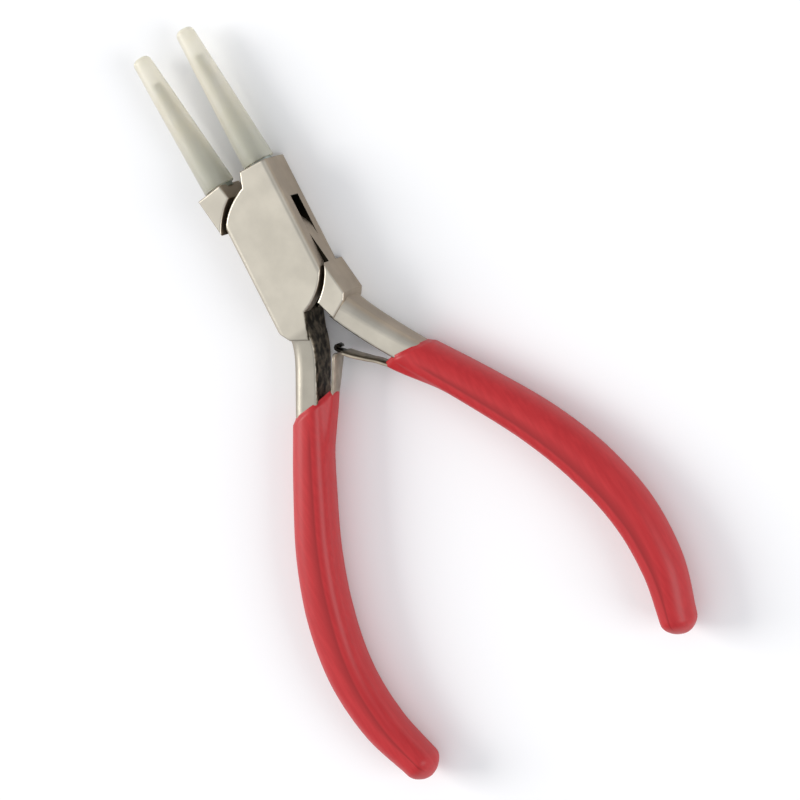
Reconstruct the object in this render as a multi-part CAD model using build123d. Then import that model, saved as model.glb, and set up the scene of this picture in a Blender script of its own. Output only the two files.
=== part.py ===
"""Round nose pliers with nylon jaws.

Two forged steel halves cross in a box joint and turn on one rivet. Each half carries a nylon cone on a
steel post, a tang inside a dipped PVC grip, and a leaf spring riveted to the tang.

Frame: the origin is on the rivet's axis at the box's back face. +Z runs along the rivet to the front
face, +Y runs up the middle line to the jaws, and +X is to the right. Each half is drawn as it lies with
the pliers closed, then turned by half of the rest opening. Lengths are millimetres, angles degrees.

The box half has its jaw on the right and its handle on the left. The inner half is the other way round.
"""
import os
from math import atan2, cos, sin, sqrt

from build123d import *

LEFT, RIGHT = -1, 1
UPPER, LOWER = 1, -1

# Opening at rest, held by the leaf springs, as the angle between the two halves
REST_OPENING = 8.5

# Box joint
BOX_THICKNESS = 9.8
BOX_WIDTH = 13.1
BOX_TOP = 15.4
BOX_EDGE_RADIUS = 1.0
OUTLINE_EDGE_RADIUS = 0.35
SLOT_THICKNESS = 3.6
SLOT_END_RADIUS = 10.0
NOTCH_RADII = {UPPER: BOX_WIDTH / 2 + 5.55, LOWER: BOX_WIDTH / 2 + 5.05}
NOTCH_CLEARANCE = 0.35
NOTCH_CENTRE = (3.9, 1.2)
BOX_SEAT_INNER = 1.0
STUB_SEAT_INNER = 1.4

# Lower end of each half's block, from its outer corner inwards
ROOT_POINTS = {
    LEFT: ((BOX_WIDTH / 2, -13.2), (5.1, -15.5), (1.75, -17.0)),
    RIGHT: ((BOX_WIDTH / 2, -13.4), (5.6, -14.5), (2.0, -16.0)),
}

# Web of the inner half, which passes through the slot
WEB_CLEARANCE = 0.1
WEB_DISC_RADIUS = 6.5
WEB_EDGE_RECESS = 0.1
WEB_NECK_INNER = 1.2
WEB_NECK_OVERLAP = 1.0

# Pivot rivet, fixed in the cheeks and running in the web
RIVET_RADIUS = 2.2
RIVET_HEAD_RADIUS = RIVET_RADIUS + 0.8
RIVET_HEAD_DEPTH = 0.8
RIVET_RUNNING_CLEARANCE = 0.05

# Nylon jaws and their steel posts
JAW_BASE_RADIUS = 3.0
JAW_TIP_RADIUS = 1.75
JAW_LENGTH = 27.9
JAW_CLOSED_GAP = 0.16
JAW_BASE_OFFSET = 3.39
JAW_TIP_ROUNDING = 1.1
JAW_BORE_END_WALL = 5.6
POST_COLLAR_RADIUS = 2.5
POST_COLLAR_HEIGHT = 0.35
POST_BASE_RADIUS = 1.7
POST_TIP_RADIUS = 0.75
POST_SHANK_RADIUS = 1.5
POST_SHANK_LENGTH = 4.0

# Middle line of a handle: distance from the middle line of the pliers, and height, with them closed
HANDLE_TOPS = {
    LEFT: ((3.3, -14.6), (4.6, -19.5)),
    RIGHT: ((3.6, -14.6), (5.3, -19.5)),
}
HANDLE_LINE = (
    (9.2, -28.0),
    (15.9, -41.0),
    (21.2, -52.4),
    (24.7, -63.6),
    (26.1, -74.5),
    (24.9, -85.0),
    (21.6, -94.3),
)

# Steel tang along the handle line: fraction of the line, width, and share of the box's thickness
TANG_SECTIONS = (
    (0.000, 4.6, 0.94),
    (0.065, 4.7, 0.82),
    (0.165, 4.7, 0.73),
    (0.300, 4.7, 0.57),
    (0.450, 4.6, 0.51),
    (0.600, 4.4, 0.47),
    (0.750, 4.2, 0.43),
    (0.870, 3.9, 0.40),
    (0.960, 3.4, 0.35),
)
TANG_OUTER_ROUNDING = 0.26
TANG_INNER_ROUNDING = 0.07

# Dipped grip along the handle line: fraction of the line and width
GRIP_WIDTHS = (
    (0.10, 6.2),
    (0.20, 6.5),
    (0.35, 7.1),
    (0.50, 7.7),
    (0.62, 8.0),
    (0.75, 7.8),
    (0.88, 7.2),
    (1.00, 6.0),
)
GRIP_THICKNESS = BOX_THICKNESS - 1.0
GRIP_EDGE_RADIUS = 2.5
DIP_INNER = (5.5, -27.3)
DIP_OUTER = (12.6, -28.4)
LUMP_WALL = 0.7
LUMP_REACH = 2.0

# Leaf springs, drawn as the path of the leaf's middle from its root to its tip
LEAF_THICKNESS = 0.55
LEAF_ROOT_WIDTH = 3.8
LEAF_TIP_WIDTH = 5.0
LEAF_TAPER_START = -27.0
TONGUE_WIDTH = 2.2
TONGUE_LENGTH = 1.2
LEAF_CLEARANCE = 0.05
LEAF_SEAT_DEPTH = 0.3
LEAF_ROOT_FRACTION = 0.335
LEAF_BEND_FRACTION = 0.275
LEFT_LEAF_BLADE = ((3.4, -26.8), (-0.35, -21.15))
RIGHT_LEAF_BLADE = ((3.7, -27.5), (-0.45, -22.95), (-2.35, -20.5))
LEAF_BEND_RADIUS = 5.0
CURL_RADIUS = 0.42
CURL_ANGLE = 250
SPRING_RIVET_RADIUS = 0.8
SPRING_RIVET_HEAD_RADIUS = 1.3
SPRING_RIVET_HEAD_HEIGHT = 0.4
SPRING_RIVET_LENGTH = 2.4
SPRING_RIVET_FRACTION = 0.305

MIDDLE = BOX_THICKNESS / 2
HALF_WIDTH = BOX_WIDTH / 2
WIDEST = max(x for x, _ in HANDLE_LINE)
TOLERANCE = 0.01


def at_rest(shape, jaw_side):
    """Turn a shape drawn closed to its rest position, for the half whose jaw is on the given side."""
    return Rot(0, 0, -jaw_side * REST_OPENING / 2) * shape


def slab(face, low, high):
    """Extrude a face lying at z = 0 so that it fills the space between two heights."""
    return Pos(0, 0, low) * extrude(face, high - low)


def polygon(points):
    """Face inside a closed run of straight lines."""
    return make_face(Polyline(*points, close=True))


def notch_points(radius, inner, turn):
    """Three points of the arc that ends a cheek, from the side of the box inwards.

    The arc has the given radius about the notch centre and stops where x is -inner. A turn of 1 is the
    notch at the upper left, and -1 is the same notch turned half round the rivet, at the lower right.
    """
    centre_x, centre_y = NOTCH_CENTRE
    spans = (HALF_WIDTH + centre_x, inner + centre_x)
    angles = [atan2(sqrt(radius**2 - span**2), -span) for span in spans]
    angles.insert(1, sum(angles) / 2)
    return [
        (turn * (centre_x + radius * cos(angle)), turn * (centre_y + radius * sin(angle)))
        for angle in angles
    ]


def outline_edges(solid):
    """Edges round the front and back faces of a block."""
    return [edge for edge in solid.edges() if abs(edge.center().Z - MIDDLE) > MIDDLE - TOLERANCE]


def round_box_edges(solid):
    """Round the edges up the sides of the box well, and the rest of its outline a little."""
    sides = [edge for edge in outline_edges(solid) if abs(abs(edge.center().X) - HALF_WIDTH) < TOLERANCE]
    rounded = fillet(sides, BOX_EDGE_RADIUS)
    flat = HALF_WIDTH - BOX_EDGE_RADIUS
    others = [edge for edge in outline_edges(rounded) if abs(abs(edge.center().X) - flat) > TOLERANCE]
    return fillet(others, OUTLINE_EDGE_RADIUS)


def outside_direction(along, side):
    """Direction in the plane that points away from the middle line, for a handle running downwards."""
    return Vector(-side * along.Y, side * along.X, 0)


def handle_line(side):
    """Middle line of one handle."""
    return Spline(*[(side * x, y) for x, y in HANDLE_TOPS[side] + HANDLE_LINE])


def value_at(table, fraction, column):
    """Read a column of a table of rows ordered by fraction, in a straight line between rows."""
    for low, high in zip(table, table[1:]):
        if fraction <= high[0]:
            share = (fraction - low[0]) / (high[0] - low[0])
            return low[column] + share * (high[column] - low[column])
    return table[-1][column]


def tang_section(side, fraction, width, share):
    """Cross-section of a tang at a fraction of its line, rounded more on the side held in the hand."""
    thickness = share * BOX_THICKNESS
    line = handle_line(side)
    along = line % fraction
    place = Plane(
        origin=line @ fraction + Vector(0, 0, MIDDLE),
        x_dir=outside_direction(along, side),
        z_dir=along,
    )
    bar = Rectangle(width, thickness)
    bar = fillet(bar.vertices().group_by(Axis.X)[-1], TANG_OUTER_ROUNDING * thickness)
    bar = fillet(bar.vertices().group_by(Axis.X)[0], TANG_INNER_ROUNDING * thickness)
    return place * bar


def make_tang(side):
    """Tapered steel bar along the handle line."""
    return loft([tang_section(side, *row) for row in TANG_SECTIONS])


def root_outline(side):
    """Lower end of a half's full-thickness block, from its outer side inwards."""
    return [(side * x, y) for x, y in ROOT_POINTS[side]]


def make_box_block():
    """Cheeks, jaw seat and tang root of the box half in one block, with the slot through it."""
    upper, lower = [notch_points(NOTCH_RADII[turn], 0, turn) for turn in (UPPER, LOWER)]
    corner, outer, inner = root_outline(LEFT)
    outline = [
        Polyline(upper[2], (BOX_SEAT_INNER, BOX_TOP), (HALF_WIDTH, BOX_TOP), lower[0]),
        ThreePointArc(*lower),
        Polyline(lower[2], inner, outer, corner, upper[0]),
        ThreePointArc(*upper),
    ]
    block = round_box_edges(slab(make_face(outline), 0, BOX_THICKNESS))
    reach = BOX_TOP + HALF_WIDTH
    passage = Circle(SLOT_END_RADIUS)
    passage += Pos(-reach / 2, reach / 2) * Rectangle(reach, reach)
    passage += Pos(reach / 2, -reach / 2) * Rectangle(reach, reach)
    return block - slab(passage, MIDDLE - SLOT_THICKNESS / 2, MIDDLE + SLOT_THICKNESS / 2)


def make_inner_block():
    """Jaw seat, web and tang root of the inner half."""
    upper, lower = [
        notch_points(NOTCH_RADII[turn] + NOTCH_CLEARANCE, WEB_NECK_INNER, turn)
        for turn in (UPPER, LOWER)
    ]
    corner, outer, inner = root_outline(RIGHT)
    seat = [
        Polyline(upper[2], (-STUB_SEAT_INNER, BOX_TOP), (-HALF_WIDTH, BOX_TOP), upper[0]),
        ThreePointArc(*upper),
    ]
    shoulder = [
        Polyline(lower[2], inner, outer, corner, lower[0]),
        ThreePointArc(*lower),
    ]
    web = Circle(WEB_DISC_RADIUS)
    edge = HALF_WIDTH - WEB_EDGE_RECESS
    for turn, ends in ((UPPER, upper), (LOWER, lower)):
        into_block = turn * WEB_NECK_OVERLAP
        neck = [
            (-turn * edge, 0),
            (-turn * edge, ends[0][1] + into_block),
            (ends[2][0] - into_block, ends[2][1] + into_block),
            (-turn * WEB_NECK_INNER, 0),
        ]
        web += polygon(neck)
    half_web = SLOT_THICKNESS / 2 - WEB_CLEARANCE
    block = slab(web, MIDDLE - half_web, MIDDLE + half_web)
    for outline in (seat, shoulder):
        solid = slab(make_face(outline), 0, BOX_THICKNESS)
        block += fillet(outline_edges(solid), OUTLINE_EDGE_RADIUS)
    return block


def make_pivot_rivet():
    """Rivet with a countersunk head at each end, flush with the box."""
    head = Cone(
        RIVET_HEAD_RADIUS,
        RIVET_RADIUS,
        RIVET_HEAD_DEPTH,
        align=(Align.CENTER, Align.CENTER, Align.MIN),
    )
    shank = Cylinder(
        RIVET_RADIUS, BOX_THICKNESS, align=(Align.CENTER, Align.CENTER, Align.MIN)
    )
    other_head = Pos(0, 0, BOX_THICKNESS) * Rot(180, 0, 0) * head
    return shank + head + other_head


def web_bore():
    """Hole in the web that runs on the rivet."""
    return Cylinder(
        RIVET_RADIUS + RIVET_RUNNING_CLEARANCE,
        SLOT_THICKNESS,
        align=(Align.CENTER, Align.CENTER, Align.MIN),
    )


def jaw_place(side):
    """Location whose z axis runs up the middle of one jaw from the steel end face."""
    lean = atan2(JAW_BASE_OFFSET - JAW_TIP_RADIUS - JAW_CLOSED_GAP / 2, JAW_LENGTH)
    return Plane(
        origin=(side * JAW_BASE_OFFSET, BOX_TOP, MIDDLE),
        x_dir=(0, 0, 1),
        z_dir=(-side * sin(lean), cos(lean), 0),
    ).location


def turned(profile):
    """Solid turned from a closed profile of radius and height about the z axis."""
    points = [(radius, 0, height) for radius, height in profile]
    return revolve(make_face(Polyline(*points, close=True)), Axis.Z)


def make_jaw_post(side):
    """Post that carries one nylon jaw: shank in the seat, collar on the end face, tapered core."""
    core_top = JAW_LENGTH - JAW_BORE_END_WALL
    profile = [
        (0, -POST_SHANK_LENGTH),
        (POST_SHANK_RADIUS, -POST_SHANK_LENGTH),
        (POST_SHANK_RADIUS, -POST_COLLAR_HEIGHT),
        (POST_COLLAR_RADIUS, -POST_COLLAR_HEIGHT),
        (POST_COLLAR_RADIUS, POST_COLLAR_HEIGHT),
        (POST_BASE_RADIUS, POST_COLLAR_HEIGHT),
        (POST_TIP_RADIUS, core_top),
        (0, core_top),
    ]
    return jaw_place(side) * turned(profile)


def make_nylon_jaw(side, post):
    """Tapered nylon cone with a rounded tip, moulded round its post."""
    profile = [
        (0, POST_COLLAR_HEIGHT),
        (JAW_BASE_RADIUS, POST_COLLAR_HEIGHT),
        (JAW_TIP_RADIUS, JAW_LENGTH),
        (0, JAW_LENGTH),
    ]
    cone = turned(profile)
    tip = cone.edges().filter_by(GeomType.CIRCLE).sort_by(Axis.Z)[-1]
    return jaw_place(side) * fillet(tip, JAW_TIP_ROUNDING) - post


def inner_face_point(side, fraction, depth):
    """Point on the inner face of a tang, moved into the tang by a depth, at a fraction of its line."""
    line = handle_line(side)
    outward = outside_direction(line % fraction, side)
    half_width = value_at(TANG_SECTIONS, fraction, 1) / 2
    return line @ fraction + outward * (depth - half_width)


def leaf_path(side, blade, curled):
    """Middle of one leaf from its root on the tang to its tip."""
    depth = LEAF_SEAT_DEPTH - LEAF_THICKNESS / 2
    root = inner_face_point(side, LEAF_ROOT_FRACTION, depth)
    bend = inner_face_point(side, LEAF_BEND_FRACTION, depth)
    points = [(root.X, root.Y), (bend.X, bend.Y)]
    points += [(side * x, y) for x, y in blade]
    path = FilletPolyline(*points, radius=LEAF_BEND_RADIUS)
    if not curled:
        return path
    tip = path @ 1
    heading = path % 1
    swing = -side
    centre = tip + Vector(-swing * heading.Y, swing * heading.X, 0) * CURL_RADIUS
    start = tip - centre
    ends = [
        centre + start.rotate(Axis.Z, swing * CURL_ANGLE * share)
        for share in (0.5, 1)
    ]
    return path + ThreePointArc(tip, *ends)


def make_leaf(side, blade, curled, growth=0.0):
    """Strip of spring steel along a leaf's path, growing wider towards its tip.

    A curled leaf ends in a narrow tongue, which is the part that curls. A growth makes the strip thicker
    and wider by that much on every side, to cut the space it lies in.
    """
    path = leaf_path(side, blade, curled)
    place = Plane(origin=path @ 0, x_dir=(0, 0, 1), z_dir=path % 0)
    broad = LEAF_TIP_WIDTH + 2 * growth
    strip = sweep(place * Rectangle(broad, LEAF_THICKNESS + 2 * growth), path=path)
    foot = HANDLE_LINE[-1][1]
    root_half = LEAF_ROOT_WIDTH / 2 + growth
    tip_half = LEAF_TIP_WIDTH / 2 + growth
    end_half = TONGUE_WIDTH / 2 if curled else tip_half
    tip_height = blade[-1][1] - (TONGUE_LENGTH if curled else 0)
    edge = [
        (foot, root_half),
        (LEAF_TAPER_START, root_half),
        (tip_height, tip_half),
        (tip_height, end_half),
        (0, end_half),
    ]
    if not curled:
        edge.pop(2)
    outline = edge + [(height, -half) for height, half in reversed(edge)]
    reach = HANDLE_LINE[-1][0]
    prism = extrude(Plane.YZ * polygon(outline), reach, both=True)
    return Pos(0, 0, MIDDLE) * (strip & prism)


def make_spring_rivet(side):
    """Small rivet through a leaf's root into its tang, with its head on the leaf."""
    line = handle_line(side)
    outward = outside_direction(line % SPRING_RIVET_FRACTION, side)
    top = inner_face_point(side, SPRING_RIVET_FRACTION, LEAF_SEAT_DEPTH - LEAF_THICKNESS)
    profile = [
        (0, -SPRING_RIVET_HEAD_HEIGHT),
        (SPRING_RIVET_HEAD_RADIUS, -SPRING_RIVET_HEAD_HEIGHT),
        (SPRING_RIVET_HEAD_RADIUS, 0),
        (SPRING_RIVET_RADIUS, 0),
        (SPRING_RIVET_RADIUS, SPRING_RIVET_LENGTH),
        (0, SPRING_RIVET_LENGTH),
    ]
    head_seat = top - outward * LEAF_CLEARANCE + Vector(0, 0, MIDDLE)
    place = Plane(origin=head_seat, x_dir=(0, 0, 1), z_dir=outward)
    return place.location * turned(profile)


def rivet_passage(side):
    """Clear hole for the spring rivet's shank through the leaf."""
    line = handle_line(side)
    outward = outside_direction(line % SPRING_RIVET_FRACTION, side)
    start = inner_face_point(side, SPRING_RIVET_FRACTION, 0) + Vector(0, 0, MIDDLE)
    place = Plane(origin=start, x_dir=(0, 0, 1), z_dir=outward)
    return place.location * Cylinder(SPRING_RIVET_RADIUS + LEAF_CLEARANCE, SPRING_RIVET_LENGTH)


def dipped_region(side):
    """Everything below the line where the dipping stopped."""
    (inner_x, inner_y), (outer_x, outer_y) = DIP_INNER, DIP_OUTER
    slope = (outer_y - inner_y) / (outer_x - inner_x)
    near, far = -WIDEST, 2 * WIDEST
    foot = HANDLE_LINE[-1][1] - WIDEST
    points = [
        (side * near, inner_y + slope * (near - inner_x)),
        (side * far, inner_y + slope * (far - inner_x)),
        (side * far, foot),
        (side * near, foot),
    ]
    return polygon(points)


def make_sleeve(side):
    """Dipped sleeve before the steel is taken out of it. Its rim at the dip line stays sharp."""
    line = handle_line(side)
    outer, inner = [], []
    for fraction, width in GRIP_WIDTHS:
        outward = outside_direction(line % fraction, side)
        outer.append(line @ fraction + outward * (width / 2))
        inner.append(line @ fraction - outward * (width / 2))
    end = line @ 1 + (line % 1) * (GRIP_WIDTHS[-1][1] / 2)
    first, last = line % GRIP_WIDTHS[0][0], line % 1
    outline = [
        Spline(*outer, tangents=(first, last)),
        ThreePointArc(outer[-1], end, inner[-1]),
        Spline(*reversed(inner), tangents=(-last, -first)),
        Line(inner[0], outer[0]),
    ]
    low = MIDDLE - GRIP_THICKNESS / 2
    high = MIDDLE + GRIP_THICKNESS / 2
    sleeve = slab(make_face(outline) & dipped_region(side), low, high)
    rounded = [
        edge
        for edge in sleeve.edges()
        if abs(abs(edge.center().Z - MIDDLE) - GRIP_THICKNESS / 2) < TOLERANCE
        and edge.length > GRIP_THICKNESS
    ]
    return fillet(rounded, GRIP_EDGE_RADIUS)


def make_lump(side, blade):
    """Thickening of the dipped sleeve where the leaf comes out of it."""
    bend = inner_face_point(side, LEAF_BEND_FRACTION, 0)
    knee = Vector(side * blade[0][0], blade[0][1], 0)
    run = (bend - knee).normalized()
    cover = outside_direction(run, side) * (-LEAF_THICKNESS / 2 - LUMP_WALL)
    start = knee - run * LUMP_REACH
    outside = inner_face_point(side, LEAF_BEND_FRACTION, LUMP_REACH)
    near_dip = Vector(side * (DIP_INNER[0] + LUMP_REACH), DIP_INNER[1] + LUMP_REACH, 0)
    points = [start + cover, bend + cover, outside, near_dip]
    face = polygon([(point.X, point.Y) for point in points]) & dipped_region(side)
    half = LEAF_ROOT_WIDTH / 2 + LUMP_WALL
    return slab(face, MIDDLE - half, MIDDLE + half)


def make_half(block, jaw_side, blade, curled):
    """Every piece that one steel half carries, drawn closed, with the holes each one needs."""
    handle_side = -jaw_side
    post = make_jaw_post(jaw_side)
    leaf_space = make_leaf(handle_side, blade, curled, LEAF_CLEARANCE)
    leaf = make_leaf(handle_side, blade, curled) - rivet_passage(handle_side)
    rivet = make_spring_rivet(handle_side)
    bare_tang = make_tang(handle_side)
    steel = block + bare_tang - post - leaf_space - rivet
    sleeve = make_sleeve(handle_side) + make_lump(handle_side, blade)
    grip = sleeve - bare_tang - leaf_space - rivet
    jaw = make_nylon_jaw(jaw_side, post)
    return steel, jaw, post, leaf, rivet, grip


def build_nodes():
    """All nodes of the pliers at rest, by name."""
    names = {
        RIGHT: ("box_half", "nylon_jaw_right", "jaw_post_right",
                "leaf_spring_left", "spring_rivet_left", "grip_left"),
        LEFT: ("inner_half", "nylon_jaw_left", "jaw_post_left",
               "leaf_spring_right", "spring_rivet_right", "grip_right"),
    }
    pivot = make_pivot_rivet()
    bore = Pos(0, 0, MIDDLE - SLOT_THICKNESS / 2) * web_bore()
    blocks = {RIGHT: make_box_block() - pivot, LEFT: make_inner_block() - bore}
    blades = {RIGHT: (LEFT_LEAF_BLADE, False), LEFT: (RIGHT_LEAF_BLADE, True)}
    nodes = {"pivot_rivet": pivot}
    for jaw_side, block in blocks.items():
        blade, curled = blades[jaw_side]
        pieces = make_half(block, jaw_side, blade, curled)
        for name, piece in zip(names[jaw_side], pieces):
            nodes[name] = at_rest(piece, jaw_side)
    return nodes


if __name__ == "__main__":
    os.makedirs("parts", exist_ok=True)
    for node, solid in build_nodes().items():
        export_step(solid, f"parts/{node}.step")
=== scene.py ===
"""Finished look of a pair of round nose pliers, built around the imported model.

The steel halves, the rivets and the jaw posts keep their modelled shape and get their finish here. The
dipped grips, the nylon cones and the leaf springs are built again as detailed meshes in the same places.
Lengths in the classes are millimetres in the frame of the model; meshes are made in metres.
"""
import logging
import math
from dataclasses import dataclass, field
from enum import Enum

import bmesh
import bpy
import numpy as np
from mathutils import Matrix, Vector


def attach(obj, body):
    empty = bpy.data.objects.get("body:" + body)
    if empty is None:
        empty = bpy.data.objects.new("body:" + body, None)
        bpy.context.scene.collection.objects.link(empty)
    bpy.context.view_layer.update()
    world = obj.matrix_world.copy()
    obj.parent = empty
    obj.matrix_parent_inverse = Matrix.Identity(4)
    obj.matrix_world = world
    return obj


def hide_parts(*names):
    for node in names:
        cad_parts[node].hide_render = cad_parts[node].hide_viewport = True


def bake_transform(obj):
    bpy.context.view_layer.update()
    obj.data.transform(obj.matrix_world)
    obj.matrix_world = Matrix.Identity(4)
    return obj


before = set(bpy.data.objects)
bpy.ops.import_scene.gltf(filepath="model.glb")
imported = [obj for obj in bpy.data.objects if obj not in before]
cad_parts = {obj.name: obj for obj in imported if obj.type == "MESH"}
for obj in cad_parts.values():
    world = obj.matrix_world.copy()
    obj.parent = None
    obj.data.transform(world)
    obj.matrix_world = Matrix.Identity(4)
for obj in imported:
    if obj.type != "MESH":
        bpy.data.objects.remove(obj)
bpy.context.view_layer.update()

LOG = logging.getLogger("pliers")
MM = 0.001
MIDDLE = 4.9
SLOT_HALF = 1.83
SLOT_END_RADIUS = 10.0
TANG_TOP = -10.8
SHOULDER_FOOT = -14.0


class Side(Enum):
    """Side of the middle line, as the sign of x."""

    LEFT = -1
    RIGHT = 1

    @property
    def word(self) -> str:
        """Name used for pieces on this side."""
        return self.name.lower()


class Body(Enum):
    """Bodies of the model that pieces ride on."""

    BOX = "box_side"
    WEB = "web_side"
    LEFT_LEAF = "left_leaf"
    RIGHT_LEAF = "right_leaf"


class Slot(Enum):
    """Material slots of the record."""
    # Material slots.

    STEEL = "satin_steel"
    POST = "post_steel"
    SPRING = "spring_steel"
    NYLON = "nylon"
    PVC = "dipped_pvc"


# ---------------------------------------------------------------- paths and meshes


@dataclass(frozen=True)
class HalfFrame:
    """Where one half of the pliers lies at rest, against the closed pliers.

    Attributes:
        jaw_side: side that the half's jaw is on; its handle is on the other side.
        opening: angle between the two halves at rest, in degrees.
        middle: height of the middle plane, in millimetres.
    """

    jaw_side: Side
    opening: float = 8.5
    middle: float = MIDDLE

    @property
    def handle(self) -> int:
        """Sign of x of the handle."""
        return -self.jaw_side.value

    @property
    def handle_word(self) -> str:
        """Name used for pieces on the handle's side."""
        return "left" if self.handle < 0 else "right"

    def place(self, x: float, y: float, z: float = 0.0) -> Vector:
        """Turn a point of the closed half to its rest place.

        Args:
            x: distance to the right, in millimetres.
            y: distance towards the jaws.
            z: height above the middle plane.

        Returns:
            The point at rest, in metres.
        """
        turn = math.radians(-self.jaw_side.value * self.opening / 2)
        cosine, sine = math.cos(turn), math.sin(turn)
        return Vector((cosine * x - sine * y, sine * x + cosine * y, z + self.middle)) * MM


@dataclass
class Path:
    """Smooth line through points in the plane of the pliers.

    Attributes:
        points: the points that the line passes through, in millimetres.
        steps: samples between two neighbouring points.
        samples: points of the line, worked out from the given ones.
        lengths: distance of each sample from the start.
    """

    points: list[tuple[float, float]]
    steps: int = 24
    samples: np.ndarray = field(init=False)
    lengths: np.ndarray = field(init=False)

    def __post_init__(self) -> None:
        """Sample the line once."""
        given = np.array(self.points, float)
        padded = np.vstack([2 * given[0] - given[1], given, 2 * given[-1] - given[-2]])
        rows = []
        for start in range(len(given) - 1):
            a, b, c, d = padded[start : start + 4]
            for share in np.arange(self.steps) / self.steps:
                square, cube = share**2, share**3
                rows.append(
                    0.5 * (2 * b + (c - a) * share)
                    + 0.5 * (2 * a - 5 * b + 4 * c - d) * square
                    + 0.5 * (3 * b - a - 3 * c + d) * cube
                )
        rows.append(given[-1])
        self.samples = np.array(rows)
        gaps = np.linalg.norm(np.diff(self.samples, axis=0), axis=1)
        self.lengths = np.concatenate([[0.0], np.cumsum(gaps)])

    @property
    def length(self) -> float:
        """Length of the whole line."""
        return float(self.lengths[-1])

    def at(self, distance: float) -> np.ndarray:
        """Point of the line.

        Args:
            distance: how far along the line it lies.

        Returns:
            Its x and y.
        """
        return np.array([np.interp(distance, self.lengths, self.samples[:, k]) for k in (0, 1)])

    def heading(self, distance: float) -> np.ndarray:
        """Direction of the line.

        Args:
            distance: how far along the line to look.

        Returns:
            The direction, one unit long.
        """
        reach = self.length * 0.004
        step = self.at(min(distance + reach, self.length)) - self.at(max(distance - reach, 0.0))
        return step / np.linalg.norm(step)


def ring_mesh(name: str, rings: list[list[Vector]], smooth_angle: float = 35.0) -> bpy.types.Object:
    """Join rings of points into one closed skin with a cap at each end.

    Args:
        name: name of the piece.
        rings: rings of points in metres, each with the same number of points.
        smooth_angle: edges sharper than this stay sharp, in degrees.

    Returns:
        The new object, linked to the scene.
    """
    mesh = bpy.data.meshes.new(name)
    build = bmesh.new()
    rows = [[build.verts.new(point) for point in ring] for ring in rings]
    count = len(rows[0])
    for low, high in zip(rows, rows[1:]):
        for here in range(count):
            after = (here + 1) % count
            build.faces.new((low[here], low[after], high[after], high[here]))
    for row in (list(reversed(rows[0])), rows[-1]):
        build.faces.new(row)
    bmesh.ops.recalc_face_normals(build, faces=build.faces)
    for face in build.faces:
        face.smooth = True
    build.to_mesh(mesh)
    build.free()
    mesh.set_sharp_from_angle(angle=math.radians(smooth_angle))
    piece = bpy.data.objects.new(name, mesh)
    bpy.context.scene.collection.objects.link(piece)
    return piece


def blend_in(value: float, low: float, high: float) -> float:
    """Smooth step between two values.

    Args:
        value: where to read the step.
        low: where it is 0.
        high: where it is 1.

    Returns:
        The step, from 0 to 1.
    """
    share = min(1.0, max(0.0, (value - low) / (high - low)))
    return share * share * (3 - 2 * share)


# ---------------------------------------------------------------- shader nodes


class Tree:
    """Short calls for building a node tree."""

    def __init__(self, tree: bpy.types.NodeTree) -> None:
        """Wrap a node tree."""
        self.tree = tree

    def node(self, kind: str, **settings: object) -> bpy.types.Node:
        """Add a node.

        Args:
            kind: type name of the node, without its ShaderNode prefix.
            **settings: properties of the node.

        Returns:
            The new node.
        """
        made = self.tree.nodes.new("ShaderNode" + kind)
        for key, value in settings.items():
            setattr(made, key, value)
        return made

    def feed(self, socket: bpy.types.NodeSocket, source: object) -> None:
        """Link a socket to another one, or set it to a plain value.

        Args:
            socket: input to feed.
            source: output socket or plain value.
        """
        if isinstance(source, bpy.types.NodeSocket):
            self.tree.links.new(source, socket)
        else:
            socket.default_value = source

    def math(self, operation: str, *sources: object, clamp: bool = False) -> bpy.types.NodeSocket:
        """Add a math node.

        Args:
            operation: what it works out.
            *sources: sockets or plain values, in the node's order.
            clamp: whether the result stays between 0 and 1.

        Returns:
            The result.
        """
        made = self.node("Math", operation=operation, use_clamp=clamp)
        for socket, source in zip(made.inputs, sources):
            self.feed(socket, source)
        return made.outputs[0]

    def between(self, value: object, low: float, high: float) -> bpy.types.NodeSocket:
        """Map a value through a smooth step.

        Args:
            value: socket or plain value.
            low: value that gives 0.
            high: value that gives 1.

        Returns:
            The step, from 0 to 1.
        """
        made = self.node("MapRange", interpolation_type="SMOOTHSTEP")
        for socket, source in zip(made.inputs, (value, low, high, 0.0, 1.0)):
            self.feed(socket, source)
        return made.outputs[0]

    def mix(self, share: object, first: object, second: object) -> bpy.types.NodeSocket:
        """Mix two colours.

        Args:
            share: how much of the second colour there is.
            first: colour at share 0.
            second: colour at share 1.

        Returns:
            The mixed colour.
        """
        made = self.node("Mix", data_type="RGBA")
        for index, source in zip((0, 6, 7), (share, first, second)):
            self.feed(made.inputs[index], source)
        return made.outputs[2]

    def axes(self, vector: bpy.types.NodeSocket) -> list[bpy.types.NodeSocket]:
        """Split a vector.

        Args:
            vector: the vector.

        Returns:
            Its x, y and z.
        """
        made = self.node("SeparateXYZ")
        self.feed(made.inputs[0], vector)
        return list(made.outputs)

    def noise(self, vector: object, scale: object, detail: float = 3.0) -> bpy.types.NodeSocket:
        """Add noise.

        Args:
            vector: where to read the noise.
            scale: repeats to the unit.
            detail: number of finer layers.

        Returns:
            The noise, from 0 to 1.
        """
        made = self.node("TexNoise")
        self.feed(made.inputs["Vector"], vector)
        self.feed(made.inputs["Scale"], scale)
        made.inputs["Detail"].default_value = detail
        return made.outputs["Fac"]

    def group(self, inner: bpy.types.NodeTree, **values: object) -> bpy.types.Node:
        """Place a node group.

        Args:
            inner: the group's own tree.
            **values: its inputs, with underscores standing for spaces.

        Returns:
            The group node.
        """
        made = self.node("Group")
        made.node_tree = inner
        for key, value in values.items():
            self.feed(made.inputs[key.replace("_", " ")], value)
        return made


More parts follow.
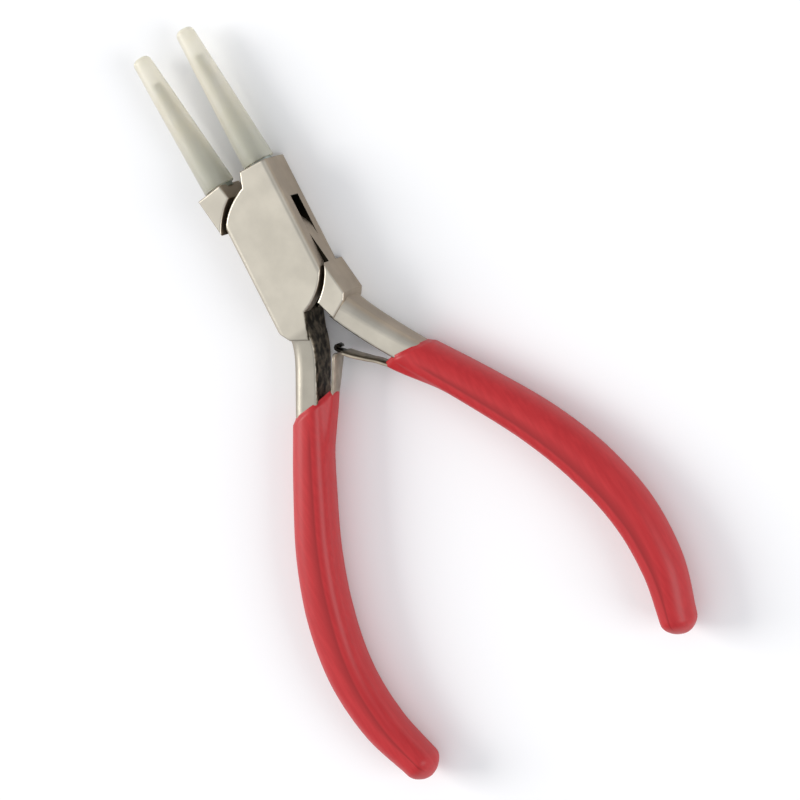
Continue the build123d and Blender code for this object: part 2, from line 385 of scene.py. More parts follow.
def new_group(name: str, inputs: dict[str, float], outputs: list[str]) -> tuple[Tree, dict, object]:
    """Start a node group that works on plain values.

    Args:
        name: name of the group.
        inputs: names and default values of its inputs.
        outputs: names of its outputs.

    Returns:
        The tree, its input sockets by name, and the node that takes its outputs.
    """
    inner = bpy.data.node_groups.new(name, "ShaderNodeTree")
    for label, value in inputs.items():
        socket = inner.interface.new_socket(label, in_out="INPUT", socket_type="NodeSocketFloat")
        socket.default_value = value
    for label in outputs:
        inner.interface.new_socket(label, in_out="OUTPUT", socket_type="NodeSocketFloat")
    entry = inner.nodes.new("NodeGroupInput")
    leave = inner.nodes.new("NodeGroupOutput")
    return Tree(inner), {label: entry.outputs[label] for label in inputs}, leave


def make_grain_group() -> bpy.types.NodeTree:
    """Blotches, fine drawn lines and their height, used by every finish.

    Returns:
        Group with inputs Blotches, Across and Along, which are repeats to the metre.
    """
    names = {"Blotches": 150.0, "Across": 4000.0, "Along": 600.0}
    tree, given, leave = new_group("surface_grain", names, ["Blotch", "Line", "Height"])
    place = tree.node("TexCoord").outputs["Object"]
    blotch = tree.noise(place, given["Blotches"], 4.0)
    x, y, z = tree.axes(place)
    stretched = tree.node("CombineXYZ")
    for socket, value, rate in zip(stretched.inputs, (x, y, z), ("Across", "Along", "Across")):
        tree.feed(socket, tree.math("MULTIPLY", value, given[rate]))
    line = tree.noise(stretched.outputs[0], 1.0, 2.0)
    height = tree.math("ADD", tree.math("MULTIPLY", line, 0.6), tree.math("MULTIPLY", blotch, 0.4))
    for label, value in (("Blotch", blotch), ("Line", line), ("Height", height)):
        tree.feed(leave.inputs[label], value)
    return tree.tree


def make_bare_and_shade_group() -> bpy.types.NodeTree:
    """Where steel is bare or gets painted shade: the slot, the inner side of a tang, the sides and the tang.

    Returns:
        Group with inputs Handle, the sign of x of the tang, and Raggedness. Its output Slot is 1 inside the
        slot, where near-black is laid for unpolished steel and painted shade, Tang is 1 on the inner side of
        the tang, Flat is 1 on the ground front and back faces and 0 on the sides that get painted shade, and
        Lower is 1 on the tang, where painted shade is mixed in.
    """
    names = {"Handle": 1.0, "Raggedness": 0.5}
    tree, given, leave = new_group("bare_steel_and_shade", names, ["Slot", "Tang", "Flat", "Lower"])
    coordinates = tree.node("TexCoord")
    x, y, z = tree.axes(coordinates.outputs["Object"])
    normal_x, _, normal_z = tree.axes(coordinates.outputs["Normal"])
    ragged = tree.noise(coordinates.outputs["Object"], 900.0, 4.0)
    shift = tree.math("MULTIPLY", tree.math("SUBTRACT", ragged, 0.5), given["Raggedness"])
    facing = tree.math("MULTIPLY", tree.math("MULTIPLY", normal_x, given["Handle"]), -1.0)
    inward = tree.between(tree.math("ADD", facing, shift), 0.35, 0.6)
    tang = tree.math("MULTIPLY", inward, tree.between(y, TANG_TOP * MM, -11.8 * MM))
    squares = tree.math("ADD", tree.math("MULTIPLY", x, x), tree.math("MULTIPLY", y, y))
    radius = tree.math("SQRT", squares)
    height = tree.math("ABSOLUTE", tree.math("SUBTRACT", z, MIDDLE * MM))
    flat = tree.between(tree.math("ABSOLUTE", normal_z), 0.45, 0.95)
    # Near the slot's end wall on the box half, also laid near-black: partly unpolished steel, partly painted
    # shade.
    off_end = tree.math("ABSOLUTE", tree.math("SUBTRACT", radius, SLOT_END_RADIUS * MM))
    near_end = tree.math(
        "MULTIPLY",
        tree.between(off_end, 0.1 * MM, 0.05 * MM),
        tree.math("LESS_THAN", given["Handle"], 0.0),
    )
    dull = tree.math("MAXIMUM", flat, near_end)
    # Slot marks the faces inside the joint for near-black: partly unpolished steel, partly painted shade
    # between the parts.
    slot = tree.math("MULTIPLY", tree.math("LESS_THAN", height, SLOT_HALF * MM), dull)
    # Lower marks the tang below the shoulder, where painted shade is mixed into the colour.
    lower = tree.between(y, SHOULDER_FOOT * MM, -15.4 * MM)
    for label, value in (("Slot", slot), ("Tang", tang), ("Flat", flat), ("Lower", lower)):
        tree.feed(leave.inputs[label], value)
    return tree.tree


Colour = tuple[float, float, float, float]
Triple = tuple[float, float, float]
CREASE_SHADE = "crease_shade"


@dataclass(frozen=True)
class SteelFinish:
    """Satin steel with bright ground faces, sides darker from a duller finish and painted shade,
    and near-black in the slot from unpolished steel and painted shade.

    Attributes:
        name: name of the material.
        handle: sign of x of the tang whose inner side stays bare.
        flat: colour of the ground faces.
        side: colour of the sides, darker than the ground faces: partly a duller finish, partly painted
            shade.
        bare_and_shade: near-black colour inside the slot, partly unpolished steel and partly painted shade
            between the parts; also mixed in for the tang's scale and its painted shade.
        scale: colour of the lightest scale on the tang.
        roughness: roughness of the ground faces.
        side_roughness: roughness of the sides.
        bump: strength of the grain.
        tang_painted_shade: share of the near-black colour mixed into the faces of the tang as painted shade.
    """

    name: str
    handle: int = 1
    flat: Colour = (0.62, 0.575, 0.485, 1)
    side: Colour = (0.45, 0.375, 0.29, 1)
    bare_and_shade: Colour = (0.03, 0.026, 0.018, 1)
    scale: Colour = (0.26, 0.22, 0.165, 1)
    roughness: float = 0.34
    side_roughness: float = 0.42
    bump: float = 0.1
    tang_painted_shade: float = 0.16

    def make(self, grain: bpy.types.NodeTree, bare_and_shade: bpy.types.NodeTree) -> bpy.types.Material:
        """Build the material.

        Args:
            grain: the shared grain group.
            bare_and_shade: the shared group that finds bare steel and the places of painted shade.

        Returns:
            The material.
        """
        material, tree, shader = start_material(self.name)
        rub = tree.group(grain, Blotches=170.0, Across=5200.0, Along=500.0)
        where = tree.group(bare_and_shade, Handle=float(self.handle), Raggedness=0.5)
        cloud = tree.between(rub.outputs["Blotch"], 0.3, 0.72)
        bright = tree.mix(cloud, dimmed(self.flat, 0.86), self.flat)
        # The sides get a darker copy of the steel: partly a duller finish, partly painted shade.
        dull = tree.mix(cloud, dimmed(self.side, 0.8), self.side)
        steel = tree.mix(where.outputs["Flat"], dull, bright)
        # Painted shade on the tang: part of the near-black colour is mixed into its faces.
        steel = tree.mix(where.outputs["Lower"], steel, tree.mix(self.tang_painted_shade, steel, self.bare_and_shade))
        mottle = tree.group(grain, Blotches=700.0, Across=1800.0, Along=500.0)
        scale = tree.mix(tree.between(mottle.outputs["Blotch"], 0.35, 0.7), self.bare_and_shade, self.scale)
        worn = tree.mix(where.outputs["Tang"], steel, scale)
        # Near-black in the slot: partly unpolished steel, partly painted shade between the cheeks and the
        # web.
        tree.feed(shader.inputs["Base Color"], tree.mix(where.outputs["Slot"], worn, self.bare_and_shade))
        duller = tree.math("SUBTRACT", 1.0, where.outputs["Flat"])
        extra = tree.math("MULTIPLY", duller, self.side_roughness - self.roughness)
        rough = tree.math("ADD", self.roughness, extra)
        rough = tree.math("ADD", rough, tree.math("MULTIPLY", rub.outputs["Line"], 0.08))
        rough = tree.math("ADD", rough, tree.math("MULTIPLY", where.outputs["Tang"], 0.15), clamp=True)
        tree.feed(shader.inputs["Roughness"], rough)
        shader.inputs["Metallic"].default_value = 1.0
        add_bump(tree, shader, rub.outputs["Height"], self.bump, 0.02 * MM)
        return material


@dataclass(frozen=True)
class PostAndLeafFinish:
    """Spring or turned steel, with painted shade at the curled end of a leaf where one is given.

    Attributes:
        name: name of the material.
        light: colour of clean steel.
        dark: near-black painted shade for a leaf's curled end, or None where there is none.
        curl_shade_from: height along y where the painted shade of the curl begins, in millimetres, or None
            for none.
        roughness: roughness of the steel.
    """

    name: str
    light: Colour
    dark: Colour | None = None
    curl_shade_from: float | None = None
    roughness: float = 0.36

    def make(self, grain: bpy.types.NodeTree) -> bpy.types.Material:
        """Build the material.

        Args:
            grain: the shared grain group.

        Returns:
            The material.
        """
        material, tree, shader = start_material(self.name)
        rub = tree.group(grain, Blotches=600.0, Across=3000.0, Along=9000.0)
        share = tree.between(rub.outputs["Blotch"], 0.35, 0.75)
        colour = tree.mix(share, dimmed(self.light, 0.72), self.light)
        # Painted shade at the curled end of a leaf: near-black from the given height up.
        if self.curl_shade_from is not None:
            height = tree.axes(tree.node("TexCoord").outputs["Object"])[1]
            start = tree.math("ADD", height, tree.math("MULTIPLY", rub.outputs["Blotch"], 0.6 * MM))
            curl_shade_share = tree.between(start, self.curl_shade_from * MM, (self.curl_shade_from + 0.9) * MM)
            colour = tree.mix(curl_shade_share, colour, self.dark)
        tree.feed(shader.inputs["Base Color"], colour)
        lines = tree.math("MULTIPLY", rub.outputs["Line"], 0.1)
        tree.feed(shader.inputs["Roughness"], tree.math("ADD", self.roughness, lines))
        shader.inputs["Metallic"].default_value = 1.0
        add_bump(tree, shader, rub.outputs["Height"], 0.08, 0.02 * MM)
        return material


@dataclass(frozen=True)
class NylonFinish:
    """Natural nylon that lets the steel post show through, with the post's shade also painted in towards the
    base.

    Attributes:
        name: name of the material.
        clear: colour of the thin walls.
        cloudy: colour of the denser clouds in the moulding.
        post_shade: painted shade of the post seen through the thick base.
        base: height along y of the base, in millimetres.
        thin: height along y above which the painted shade of the post has faded and the walls look clear.
        transmission: share of light that passes through.
        roughness: roughness between the flow lines.
    """

    name: str = "natural_nylon"
    clear: Colour = (0.91, 0.86, 0.71, 1)
    cloudy: Colour = (0.94, 0.90, 0.78, 1)
    post_shade: Colour = (0.72, 0.71, 0.60, 1)
    base: float = 16.0
    thin: float = 31.0
    transmission: float = 0.6
    roughness: float = 0.3

    def make(self, grain: bpy.types.NodeTree) -> bpy.types.Material:
        """Build the material.

        Args:
            grain: the shared grain group.

        Returns:
            The material.
        """
        material, tree, shader = start_material(self.name)
        flow = tree.group(grain, Blotches=220.0, Across=1500.0, Along=120.0)
        share = tree.between(flow.outputs["Blotch"], 0.35, 0.7)
        wall = tree.mix(share, self.clear, self.cloudy)
        height = tree.axes(tree.node("TexCoord").outputs["Object"])[1]
        # Painted shade of the post: the colour darkens towards the base of the cone.
        post_shade_share = tree.between(height, self.thin * MM, self.base * MM)
        tree.feed(shader.inputs["Base Color"], tree.mix(post_shade_share, wall, self.post_shade))
        lines = tree.math("MULTIPLY", flow.outputs["Line"], 0.1)
        tree.feed(shader.inputs["Roughness"], tree.math("ADD", self.roughness, lines))
        shader.inputs["Transmission Weight"].default_value = self.transmission
        shader.inputs["IOR"].default_value = 1.53
        shader.inputs["Subsurface Weight"].default_value = 0.2
        shader.inputs["Subsurface Radius"].default_value = (1.0, 1.0, 0.8)
        shader.inputs["Subsurface Scale"].default_value = 1.5 * MM
        add_bump(tree, shader, flow.outputs["Height"], 0.06, 0.03 * MM)
        return material


@dataclass(frozen=True)
class PvcFinish:
    """Glossy dip-moulded PVC with a slight orange peel and a painted shade line along its inner corners.

    Attributes:
        name: name of the material.
        red: colour of the skin.
        deep: colour where the skin is thicker.
        crease_shade: painted shade along the inner corners of the sleeve, where no groove is modelled.
        roughness: roughness under the clear top.
    """

    name: str = "dipped_red_pvc"
    red: Colour = (0.485, 0.016, 0.02, 1)
    deep: Colour = (0.43, 0.011, 0.015, 1)
    crease_shade: Colour = (0.3, 0.003, 0.006, 1)
    roughness: float = 0.46

    def make(self, grain: bpy.types.NodeTree) -> bpy.types.Material:
        """Build the material.

        Args:
            grain: the shared grain group.

        Returns:
            The material.
        """
        material, tree, shader = start_material(self.name)
        peel = tree.group(grain, Blotches=260.0, Across=1600.0, Along=160.0)
        share = tree.between(peel.outputs["Line"], 0.3, 0.75)
        skin = tree.mix(share, self.deep, self.red)
        # Painted shade line: darker red where the corner attribute is set.
        mark = tree.node("Attribute", attribute_name=CREASE_SHADE).outputs["Fac"]
        tree.feed(shader.inputs["Base Color"], tree.mix(mark, skin, self.crease_shade))
        lines = tree.math("MULTIPLY", peel.outputs["Line"], 0.1)
        tree.feed(shader.inputs["Roughness"], tree.math("ADD", self.roughness - 0.05, lines))
        shader.inputs["Coat Weight"].default_value = 0.05
        shader.inputs["Coat Roughness"].default_value = 0.16
        shader.inputs["IOR"].default_value = 1.46
        add_bump(tree, shader, peel.outputs["Height"], 0.12, 0.05 * MM)
        return material


def dimmed(colour: Colour, share: float) -> Colour:
    """A colour made darker.

    Args:
        colour: the colour to start from.
        share: share of its brightness that is kept.

    Returns:
        The darker colour.
    """
    return tuple(share * part for part in colour[:3]) + (1,)


def start_material(name: str) -> tuple[bpy.types.Material, Tree, bpy.types.Node]:
    """Start a material.

    Args:
        name: name of the material.

    Returns:
        The material, its tree and its Principled shader.
    """
    material = bpy.data.materials.new(name)
    material.use_nodes = True
    shader = material.node_tree.nodes["Principled BSDF"]
    return material, Tree(material.node_tree), shader


def add_bump(
    tree: Tree,
    shader: bpy.types.Node,
    height: bpy.types.NodeSocket,
    strength: float,
    depth: float,
) -> None:
    """Feed a height through a bump node to a shader.

    Args:
        tree: tree that holds the shader.
        shader: the Principled shader.
        height: height between 0 and 1.
        strength: strength of the bump.
        depth: size of the relief, in metres.
    """
    bump = tree.node("Bump")
    bump.inputs["Strength"].default_value = strength
    bump.inputs["Distance"].default_value = depth
    tree.feed(bump.inputs["Height"], height)
    tree.feed(shader.inputs["Normal"], bump.outputs["Normal"])


@dataclass(frozen=True)
class Finishes:
    """Every finish of the pliers, built once."""

    box_steel: bpy.types.Material
    web_steel: bpy.types.Material
    post: bpy.types.Material
    spring: bpy.types.Material
    dark_spring: bpy.types.Material
    nylon: bpy.types.Material
    pvc: bpy.types.Material

    @classmethod
    def build(cls) -> "Finishes":
        """Make the shared groups and the materials that use them.

        Returns:
            The finishes.
        """
        grain, bare_and_shade = make_grain_group(), make_bare_and_shade_group()
        return cls(
            box_steel=SteelFinish("satin_steel_box", handle=-1, tang_painted_shade=0.27).make(grain, bare_and_shade),
            web_steel=SteelFinish("satin_steel_web", handle=1, tang_painted_shade=0.0).make(grain, bare_and_shade),
            post=PostAndLeafFinish("turned_post_steel", light=(0.44, 0.49, 0.45, 1)).make(grain),
            spring=PostAndLeafFinish("spring_steel_plain", light=(0.5, 0.44, 0.35, 1)).make(grain),
            dark_spring=PostAndLeafFinish(
                "spring_steel_curl_shade",
                light=(0.6, 0.52, 0.4, 1),
                dark=(0.02, 0.017, 0.013, 1),
                curl_shade_from=-21.7,
            ).make(grain),
            nylon=NylonFinish().make(grain),
            pvc=PvcFinish().make(grain),
        )


def dress(piece: bpy.types.Object, material: bpy.types.Material) -> None:
    """Give a piece one material in all its slots.

    Args:
        piece: the piece.
        material: its finish.
    """
    slots = piece.material_slots
    if not len(slots):
        piece.data.materials.append(material)
        return
    for entry in slots:
        entry.material = material


# ---------------------------------------------------------------- sub-assemblies


@dataclass
class SteelHalf:
    """One forged half with its rivets and jaw post, which keep their modelled shape.

    Attributes:
        nodes: names of the nodes.
        steel: finish of the forging and of the pivot rivet.
        post: finish of the jaw post and of the spring rivet.
    """

    nodes: tuple[str, ...]
    steel: bpy.types.Material
    post: bpy.types.Material

    def build(self) -> list[str]:
        """Give each node its finish.

        Returns:
            Names of the dressed nodes.
        """
        for name in self.nodes:
            forged = name.endswith("_half") or name == "pivot_rivet"
            dress(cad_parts[name], self.steel if forged else self.post)
        return list(self.nodes)


@dataclass
class NylonCone:
    """Turned nylon cone round a jaw post.

    Attributes:
        half: half that carries the cone.
        body: body it rides on.
        base_offset: distance of its middle from the middle line at the end face, closed.
        seat: height of the steel end face.
        collar: height of the cone's base above the end face.
        length: height of the cone's end above the end face.
        base_radius: radius at the base.
        tip_radius: radius at the tip.
        tip_round: rounding of the tip's edge.
        gap: space between the two cones when closed.
        post_radii: radius of the post's core at its base and at its tip.
        end_wall: nylon above the end of the post.
        segments: points round the cone.
    """

    half: HalfFrame
    body: Body
    base_offset: float = 3.39
    seat: float = 15.4
    collar: float = 0.35
    length: float = 27.9
    base_radius: float = 3.0
    tip_radius: float = 1.75
    tip_round: float = 1.1
    gap: float = 0.16
    post_radii: tuple[float, float] = (1.7, 0.75)
    end_wall: float = 5.6
    segments: int = 64

    def profile(self) -> list[tuple[float, float]]:
        """Outline of the outside.

        Returns:
            Radius and height of its points, from the base over the tip.
        """
        rounding = self.tip_round
        points = [(self.base_radius - 0.35, self.collar), (self.base_radius - 0.16, self.collar + 0.03)]
        points += [(self.base_radius - 0.04, self.collar + 0.14), (self.base_radius, self.collar + 0.34)]
        rise = self.length - rounding - self.collar
        for step in range(1, 12):
            share = step / 12
            radius = self.base_radius + (self.tip_radius - self.base_radius) * share
            points.append((radius, self.collar + 0.34 + (rise - 0.34) * share))
        for step in range(9):
            angle = math.pi / 2 * step / 8
            radius = self.tip_radius - rounding + rounding * math.cos(angle)
            points.append((radius, self.length - rounding + rounding * math.sin(angle)))
        points.append((self.tip_radius * 0.12, self.length))
        return points

    def build(self, material: bpy.types.Material) -> bpy.types.Object:
        """Make the cone, closed round its post, and set it on its body.

        Args:
            material: finish of the nylon.

        Returns:
            The cone.
        """
        side = self.half.jaw_side.value
        lean = math.atan2(self.base_offset - self.tip_radius - self.gap / 2, self.length)
        axis = (-side * math.sin(lean), math.cos(lean))
        across = (math.cos(lean), side * math.sin(lean))
        low, high = self.post_radii
        top = self.length - self.end_wall
        bore = [(0.05, top), (high, top), (low, self.collar)]
        rings = []
        for radius, height in list(reversed(self.profile())) + list(reversed(bore)):
            ring = []
            for step in range(self.segments):
                angle = 2 * math.pi * step / self.segments
                reach, lift = radius * math.cos(angle), radius * math.sin(angle)
                x = side * self.base_offset + axis[0] * height + across[0] * reach
                y = self.seat + axis[1] * height + across[1] * reach
                ring.append(self.half.place(x, y, lift))
            rings.append(ring)
        piece = ring_mesh(f"nylon_cone_{self.half.jaw_side.word}", rings)
        dress(piece, material)
        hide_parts(f"nylon_jaw_{self.half.jaw_side.word}")
        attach(piece, self.body.value)
        return piece


@dataclass
class Handle:
    """Line and widths of a handle.

    Attributes:
        tops: distance from the middle line and height of the handle's upper end, closed, left then right.
        line: the same for the rest of the handle's middle.
        grip: share of the line and width of the grip there.
    """

    tops: tuple[tuple[tuple[float, float], ...], ...] = (
        ((3.3, -14.6), (4.6, -19.5)),
        ((3.6, -14.6), (5.3, -19.5)),
    )
    line: tuple[tuple[float, float], ...] = (
        (9.2, -28.0),
        (15.9, -41.0),
        (21.2, -52.4),
        (24.7, -63.6),
        (26.1, -74.5),
        (24.9, -85.0),
        (21.6, -94.3),
    )
    grip: tuple[tuple[float, float], ...] = (
        (0.10, 6.2),
        (0.20, 6.5),
        (0.35, 7.1),
        (0.50, 7.7),
        (0.62, 8.0),
        (0.75, 7.8),
        (0.88, 7.2),
        (1.00, 6.0),
    )

    def path(self, sign: int) -> Path:
        """Middle line of one handle.

        Args:
            sign: sign of x on its side.

        Returns:
            The line, from the box down.
        """
        return Path([(sign * x, y) for x, y in self.tops[sign > 0] + self.line])


@dataclass
class Grip:
    """Dipped sleeve with a rounded outside, a flatter inside and a lump over the leaf's root.

    Attributes:
        half: half that the sleeve is on.
        body: body it rides on.
        handle: line and widths of the handle.
        thickness: size across the front and back.
        inner_round: radius of the two inner corners.
        outer_round: radius of the two outer corners.
        crown: swell of the inner side.
        dip_start: distance down the handle line where its middle meets the dip line.
        dip_slope: how far the dip line runs along the handle for each millimetre outwards.
        lip: length over which the rim of the sleeve swells from the steel.
        lip_wall: thickness of the sleeve at its very rim.
        lump: height of the lump over the leaf at the rim.
        lump_length: length over which the lump dies away.
        lump_half: half of the lump's width.
        lump_rise: how far the rim climbs the leaf at the lump.
        stations: rings along the sleeve.
        corner_steps: steps round each corner.
        inner_steps: steps across the inner side.
    """

    half: HalfFrame
    body: Body
    handle: Handle
    thickness: float = 8.78
    inner_round: float = 2.3
    outer_round: float = 3.75
    crown: float = 0.22
    dip_start: float = 14.5
    dip_slope: float = 0.72
    lip: float = 1.1
    lip_wall: float = 0.5
    lump: float = 1.5
    lump_rise: float = 0.0
    lump_length: float = 11.0
    lump_half: float = 2.6
    stations: int = 110
    corner_steps: int = 9
    inner_steps: int = 14

    def section(self, width: float, thickness: float) -> list[tuple[float, float]]:
        """Outline of the sleeve: distance outwards and height, round from the inner back corner.

        Args:
            width: size in the plane of the pliers.
            thickness: size across the front and back.

        Returns:
            Points of the outline.
        """
        across = width / (self.inner_round + self.outer_round) * 0.98
        shrink = min(1.0, across, thickness / 2 / self.outer_round * 0.98)
        small, large = self.inner_round * shrink, self.outer_round * shrink
        half_w, half_t = width / 2, thickness / 2
        corners = (
            (-half_w + small, -half_t + small, small, 180),
            (half_w - large, -half_t + large, large, 270),
            (half_w - large, half_t - large, large, 0),
            (-half_w + small, half_t - small, small, 90),
        )
        points: list[tuple[float, float]] = []
        for centre_u, centre_v, radius, start in corners:
            for step in range(self.corner_steps + 1):
                angle = math.radians(start + 90 * step / self.corner_steps)
                points.append((centre_u + radius * math.cos(angle), centre_v + radius * math.sin(angle)))
            if start == 270:
                points.append((half_w, 0.0))
        first, last = points[-1], points[0]
        for step in range(1, self.inner_steps):
            share = step / self.inner_steps
            height = first[1] + (last[1] - first[1]) * share
            points.append((-half_w - self.crown * shrink * math.sin(math.pi * share), height))
        return points

    def build(self, material: bpy.types.Material) -> bpy.types.Object:
        """Make the sleeve and set it on its body.

        Args:
            material: finish of the sleeve.

        Returns:
            The sleeve.
        """
        path = self.handle.path(self.half.handle)
        rings = [self.ring(path, station / self.stations) for station in range(self.stations + 1)]
        piece = ring_mesh(f"dipped_grip_{self.half.handle_word}", rings, 60)
        self.paint_crease_shade(piece, len(rings))
        dress(piece, material)
        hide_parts(f"grip_{self.half.handle_word}")
        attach(piece, self.body.value)
        return piece

    def ring(self, path: Path, share: float) -> list[Vector]:
        """One ring of points round the sleeve.

        Args:
            path: middle line of the handle.
            share: which ring it is, from 0 at the rim to 1 at the rounded end.

        Returns:
            Its points, at rest.
        """
        sign = self.half.handle
        shares, widths = zip(*self.handle.grip)
        end_radius = widths[-1] / 2
        distance = self.dip_start + (path.length + end_radius - self.dip_start) * self.spaced(share)
        inside = min(distance, path.length)
        over = distance - inside
        width = float(np.interp(inside / path.length, shares, widths))
        round_off = math.sqrt(max(0.0, 1 - (over / end_radius) ** 2))
        rim = blend_in(distance, self.dip_start - 0.01, self.dip_start + self.lip)
        wall = (1 - rim) * self.lip_wall
        run = path.heading(inside)
        outward = np.array((-sign * run[1], sign * run[0]))
        centre = path.at(inside) + run * over
        flat = width * max(round_off, 0.06) - 2 * wall
        fullness = 0.42 + 0.58 * round_off if over else 1.0
        taper = max(round_off, 0.1) if over else 1.0
        deep = self.thickness * fullness * taper - 2 * wall
        slope = self.dip_slope * (1 - blend_in(distance, self.dip_start, self.dip_start + 12))
        lump = self.lump * (1 - blend_in(distance, self.dip_start, self.dip_start + self.lump_length))
        points = []
        for u, v in self.section(flat, deep):
            side_share = 1 - blend_in(abs(v), self.lump_half * 0.72, self.lump_half * 1.25)
            inner_share = 1 - blend_in(u, -flat / 2, -flat / 2 + 1.6)
            share_here = side_share * inner_share
            u -= lump * share_here
            climb = self.lump_rise * share_here * lump / self.lump
            x, y = centre + outward * u + run * (slope * u - climb)
            points.append(self.half.place(x, y, v))
        return points

    def paint_crease_shade(self, piece: bpy.types.Object, count: int) -> None:
        """Write how strong the painted shade along the two inner corners is at each point of the sleeve.

        Args:
            piece: the sleeve.
            count: number of rings in it.
        """
        size = len(piece.data.vertices) // count
        front = 3 * (self.corner_steps + 1) + 1
        # The two inner corners that get the painted shade line.
        shaded_corners = (self.corner_steps, front)
        values = []
        for ring in range(count):
            begun = blend_in(ring, 0.12 * count, 0.2 * count)
            strength = begun * (1 - blend_in(ring, 0.86 * count, 0.94 * count))
            values += [strength if index in shaded_corners else 0.0 for index in range(size)]
        mark = piece.data.attributes.new(CREASE_SHADE, "FLOAT", "POINT")
        mark.data.foreach_set("value", values)

    def spaced(self, share: float) -> float:
        """Place the rings closer together at the rim and at the rounded end."""
        return 0.5 - 0.5 * math.cos(math.pi * share) if share < 1 else 1.0


@dataclass
class LeafSpring:
    """Strip of spring steel from its root on the tang to its tip.

    Attributes:
        half: half that the leaf is fixed to.
        handle_body: body meant for its root to follow; not used.
        leaf_body: body meant for its tip to follow; not used.
        blade: points of the free blade, as distance from the middle line and height, closed.
        curl: radius of the curled end, or 0 for a plain end.
        tongue_width: width of the narrow tongue that curls.
        tongue_length: how far below the curl the tongue begins.
        root: points of the root on the tang.
        thickness: thickness of the strip.
        root_width: width at the root.
        tip_width: width at the tip.
        edge: bevel of the strip's edges.
        stations: rings along the strip.
    """

    half: HalfFrame
    handle_body: Body
    leaf_body: Body
    blade: tuple[tuple[float, float], ...]
    curl: float = 0.0
    tongue_width: float = 2.2
    tongue_length: float = 1.2
    root: tuple[tuple[float, float], ...] = ((13.2, -41.0), (11.2, -37.3))
    thickness: float = 0.55
    root_width: float = 3.8
    tip_width: float = 5.0
    edge: float = 0.12
    stations: int = 90

    def path(self) -> Path:
        """Middle of the strip.

        Returns:
            The line from root to tip, with the curl where there is one.
        """
        sign = self.half.handle
        points = [(sign * x, y) for x, y in self.root + self.blade]
        if self.curl:
            tip, before = np.array(points[-1]), np.array(points[-2])
            run = (tip - before) / np.linalg.norm(tip - before)
            normal = np.array((sign * run[1], -sign * run[0]))
            centre = tip + normal * self.curl
            for step in range(1, 11):
                turn = -sign * math.radians(25 * step)
                arm = tip - centre
                cosine, sine = math.cos(turn), math.sin(turn)
                turned = (cosine * arm[0] - sine * arm[1], sine * arm[0] + cosine * arm[1])
                points.append(tuple(centre + turned))
        return Path(points, steps=8)

    def build(self, material: bpy.types.Material) -> bpy.types.Object:
        """Make the strip in its rest place.

        Args:
            material: finish of the strip.

        Returns:
            The strip.
        """
        path = self.path()
        half_t, bevel = self.thickness / 2, self.edge
        rings = []
        for station in range(self.stations + 1):
            distance = path.length * station / self.stations
            run = path.heading(distance)
            side = np.array((-run[1], run[0]))
            half_w = self.half_width(path, distance)
            outline = (
                (-half_t, -half_w + bevel),
                (-half_t + bevel, -half_w),
                (half_t - bevel, -half_w),
                (half_t, -half_w + bevel),
                (half_t, half_w - bevel),
                (half_t - bevel, half_w),
                (-half_t + bevel, half_w),
                (-half_t, half_w - bevel),
            )
            ring = []
            for u, v in outline:
                x, y = path.at(distance) + side * u
                ring.append(self.half.place(x, y, v))
            rings.append(ring)
        piece = ring_mesh(f"leaf_blade_{self.half.handle_word}", rings, 50)
        dress(piece, material)
        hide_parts(f"leaf_spring_{self.half.handle_word}")
        sign = self.half.handle
        root = self.half.place(sign * self.blade[0][0], self.blade[0][1])
        tip = self.half.place(sign * self.blade[-1][0], self.blade[-1][1])
        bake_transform(piece)
        return piece

    def half_width(self, path: Path, distance: float) -> float:
        """Half of the strip's width, which grows from the root to the tip.

        Args:
            path: middle of the strip.
            distance: how far along it to look.

        Returns:
            Half of the width there, in millimetres.
        """
        root = np.array(self.root + self.blade[:1])
        start = np.linalg.norm(np.diff(root, axis=0), axis=1).sum()
        widen = blend_in(distance, start, path.length if not self.curl else start + 8)
        half_w = (self.root_width + (self.tip_width - self.root_width) * widen) / 2
        if not self.curl:
            left = path.length - distance
            return half_w * (1 - 0.16 * (1 - min(1.0, left / 1.0)) ** 2)
        begin = self.blade[-1][1] - self.tongue_length
        curling = path.at(distance)[1] > begin or distance > path.length - 3 * self.curl
        return self.tongue_width / 2 if distance > start and curling else half_w


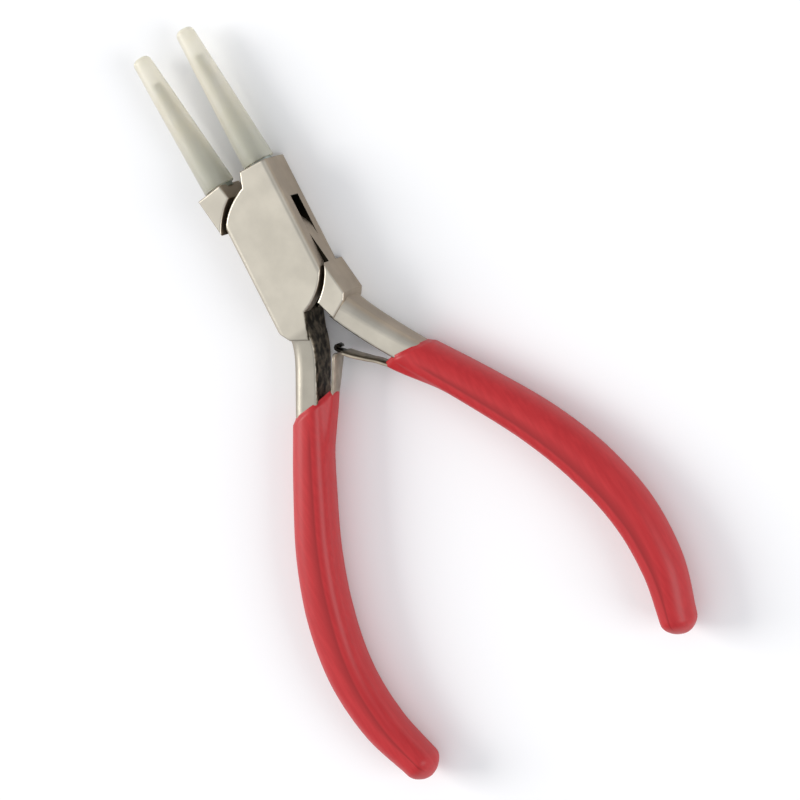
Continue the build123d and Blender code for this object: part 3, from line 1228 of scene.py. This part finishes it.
@dataclass
class Studio:
    """Pale floor, soft light and the camera.

    Attributes:
        eye: place of the camera, in millimetres.
        target: point that the middle of the picture looks at.
        upright: direction that is up in the picture.
        lens: focal length for a 36 mm sensor.
    """

    eye: Triple = (220.8, -53.3, 560.7)
    target: Triple = (4.3, -34.2, 4.9)
    upright: Triple = (0.4882, 0.8578, -0.1606)
    lens: float = 150.1

    def camera(self) -> None:
        """Create the camera and make it the scene's own."""
        data = bpy.data.cameras.new("camera")
        data.lens, data.sensor_width = self.lens, 36
        data.clip_start, data.clip_end = 0.01, 20
        camera = bpy.data.objects.new("camera", data)
        back = (Vector(self.eye) - Vector(self.target)).normalized()
        right = Vector(self.upright).cross(back).normalized()
        up = back.cross(right)
        turn = Matrix((right, up, back)).transposed().to_4x4()
        camera.matrix_world = Matrix.Translation(Vector(self.eye) * MM) @ turn
        bpy.context.scene.collection.objects.link(camera)
        bpy.context.scene.camera = camera

    def lamp(self, name: str, place: Triple, size: float, watts: float, tint: Triple) -> None:
        """Add a soft square lamp aimed at the pliers.

        Args:
            name: name of the lamp.
            place: where it hangs, in metres.
            size: length of its side, in metres.
            watts: power.
            tint: colour of its light.
        """
        data = bpy.data.lights.new(name, "AREA")
        data.size, data.energy, data.color = size, watts, tint
        lamp = bpy.data.objects.new(name, data)
        lamp.location = place
        aim = Vector(self.target) * MM - Vector(place)
        lamp.rotation_mode = "QUATERNION"
        lamp.rotation_quaternion = aim.to_track_quat("-Z", "Y")
        bpy.context.scene.collection.objects.link(lamp)

    def floor(self) -> None:
        """Lay the pale floor that the pliers rest on."""
        mesh = bpy.data.meshes.new("floor")
        reach = 3.0
        level = -0.00002
        turns = ((-1, -1), (1, -1), (1, 1), (-1, 1))
        corners = [(reach * across, reach * along, level) for across, along in turns]
        mesh.from_pydata(corners, [], [(0, 1, 2, 3)])
        floor = bpy.data.objects.new("floor", mesh)
        bpy.context.scene.collection.objects.link(floor)
        material, tree, shader = start_material("pale_floor")
        shade = tree.noise(tree.node("TexCoord").outputs["Object"], 4.0)
        tree.feed(shader.inputs["Base Color"], tree.mix(shade, (0.90, 0.90, 0.90, 1), (0.94, 0.94, 0.94, 1)))
        shader.inputs["Roughness"].default_value = 0.9
        dress(floor, material)

    def build(self) -> None:
        """Set up the whole studio."""
        self.camera()
        self.floor()
        self.lamp("overhead", (-0.47, 0.01, 1.21), 1.0, 1.4, (1.0, 0.99, 0.96))
        self.lamp("key", (-1.3, 1.0, 0.9), 1.0, 25.0, (1.0, 0.99, 0.97))
        self.lamp("fill", (1.2, -0.9, 0.9), 1.0, 12.0, (0.98, 0.99, 1.0))
        world = bpy.data.worlds.new("studio_air")
        world.use_nodes = True
        air = world.node_tree.nodes["Background"]
        air.inputs["Color"].default_value = (0.93, 0.95, 1.0, 1)
        air.inputs["Strength"].default_value = 0.6
        bpy.context.scene.world = world
        bpy.context.scene.view_settings.view_transform = "Standard"


def main() -> None:
    """Build every piece in order and report it."""
    logging.basicConfig(level=logging.INFO, format="%(message)s")
    finishes = Finishes.build()
    box, web = HalfFrame(Side.RIGHT), HalfFrame(Side.LEFT)
    halves = (
        SteelHalf(
            ("box_half", "pivot_rivet", "jaw_post_right", "spring_rivet_left"),
            finishes.box_steel,
            finishes.post,
        ),
        SteelHalf(
            ("inner_half", "jaw_post_left", "spring_rivet_right"),
            finishes.web_steel,
            finishes.post,
        ),
    )
    for half in halves:
        LOG.info("dressed %s", ", ".join(half.build()))
    for half, body in ((box, Body.BOX), (web, Body.WEB)):
        LOG.info("built %s", NylonCone(half, body).build(finishes.nylon).name)
        rise = 0.5 if half is box else -0.6
        LOG.info("built %s", Grip(half, body, Handle(), lump_rise=rise).build(finishes.pvc).name)
    left_leaf = LeafSpring(box, Body.BOX, Body.LEFT_LEAF, ((3.4, -26.8), (1.5, -24.0), (-0.35, -21.15)))
    right_blade = ((3.7, -27.5), (1.6, -25.2), (-0.4, -23.0), (-1.45, -21.65), (-2.35, -20.5))
    right_leaf = LeafSpring(web, Body.WEB, Body.RIGHT_LEAF, right_blade, curl=0.42)
    LOG.info("built %s", left_leaf.build(finishes.spring).name)
    LOG.info("built %s", right_leaf.build(finishes.dark_spring).name)
    Studio().build()
    LOG.info("built the studio")


if __name__ == "__main__":
    main()
